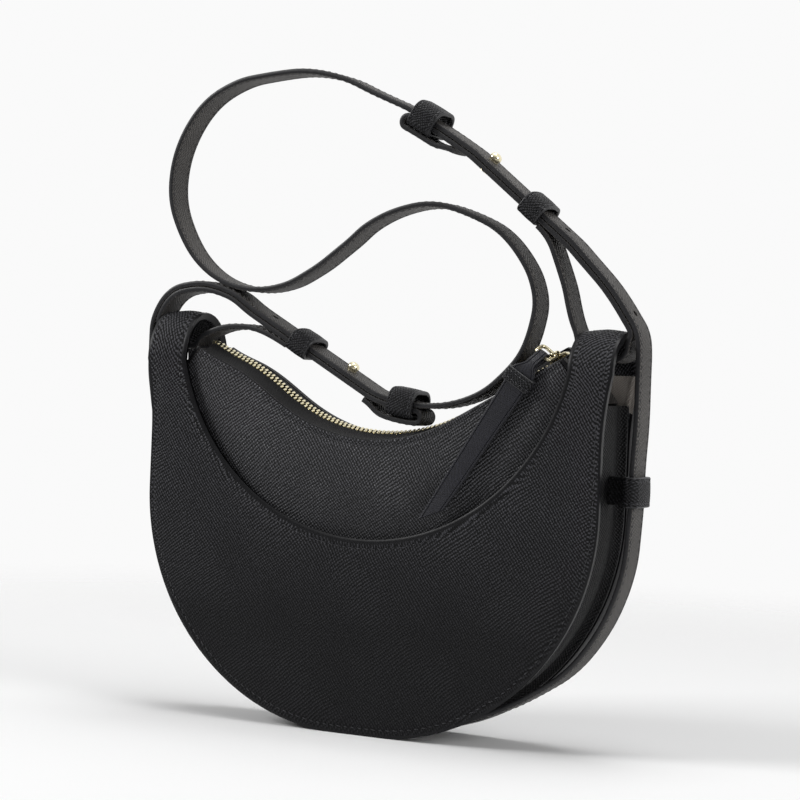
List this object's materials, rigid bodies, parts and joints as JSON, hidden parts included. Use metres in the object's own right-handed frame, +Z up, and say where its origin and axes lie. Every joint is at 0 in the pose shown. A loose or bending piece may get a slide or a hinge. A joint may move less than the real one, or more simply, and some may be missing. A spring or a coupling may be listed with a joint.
{
  "type": "half moon bag",
  "caption": "Half moon leather handbag with a scooped front, gold zip and a belt-like shoulder strap held at two arched horns.",
  "frame": {"origin": "middle of the flat at the bottom on which the bag stands", "axes": "+X along the width to the right seen from the front, -Y towards the front, +Z up"},
  "size_m": [0.269, 0.0435, 0.321],
  "materials": {
    "grained_leather": "cross-hatched grain, satin",
    "strap_leather": "cross-hatched grain, satin",
    "pull_leather": "smooth, satin",
    "lining_cloth": "plain weave",
    "base_board": "matt",
    "zip_tape": "herringbone weave",
    "gold_metal": "polished pale gold"
  },
  "bodies": {
    "bag": {"front_panel": "grained_leather", "back_panel": "grained_leather", "gusset_band": "grained_leather", "pouch_front": "grained_leather", "pouch_back": "grained_leather", "pouch_end_left": "grained_leather", "pouch_end_right": "grained_leather", "strap_tail_left": "strap_leather", "strap_tail_right": "strap_leather", "side_keeper_left": "strap_leather", "side_keeper_right": "strap_leather", "lining_front": "lining_cloth", "lining_back": "lining_cloth", "lining_band": "lining_cloth", "inner_pocket": "lining_cloth", "base_board": "base_board", "zip_tape_front": "zip_tape", "zip_tape_back": "zip_tape", "zip_teeth_front": "gold_metal", "zip_teeth_back": "gold_metal", "zip_stops": "gold_metal"},
    "strap": {"shoulder_strap": "strap_leather", "loop_strap_left": "strap_leather", "loop_strap_right": "strap_leather", "end_ring_left": "strap_leather", "end_ring_right": "strap_leather", "stud_left": "gold_metal", "stud_right": "gold_metal", "stud_screws": "gold_metal"},
    "zip_slider": {"zip_slider": "gold_metal", "zip_bail": "gold_metal"},
    "zip_pull": {"zip_pull_leather": "pull_leather", "zip_pull_wrap": "pull_leather"},
    "keeper_left": {"sliding_keeper_left": "strap_leather"},
    "keeper_right": {"sliding_keeper_right": "strap_leather"}
  },
  "joints": [
    {"name": "strap_swing", "type": "hinge", "parent": "bag", "child": "strap", "pos_m": [0, 0, 0.183], "axis": [1, 0, 0], "range_deg": [-30, 30]},
    {"name": "zip_slide", "type": "slide", "parent": "bag", "child": "zip_slider", "axis": [-0.8737, 0, -0.4865], "range_m": [0, 0.006]},
    {"name": "pull_swing", "type": "hinge", "parent": "zip_slider", "child": "zip_pull", "pos_m": [0.08662, -0.01094, 0.18383], "axis": [-0.809, 0, 0.5878], "range_deg": [0, 120]},
    {"name": "keeper_left_slide", "type": "slide", "parent": "strap", "child": "keeper_left", "axis": [0.8718, 0, -0.4898], "range_m": [0, 0.017]},
    {"name": "keeper_right_slide", "type": "slide", "parent": "strap", "child": "keeper_right", "axis": [-0.7744, 0, 0.6326], "range_m": [0, 0.022]}
  ]
}
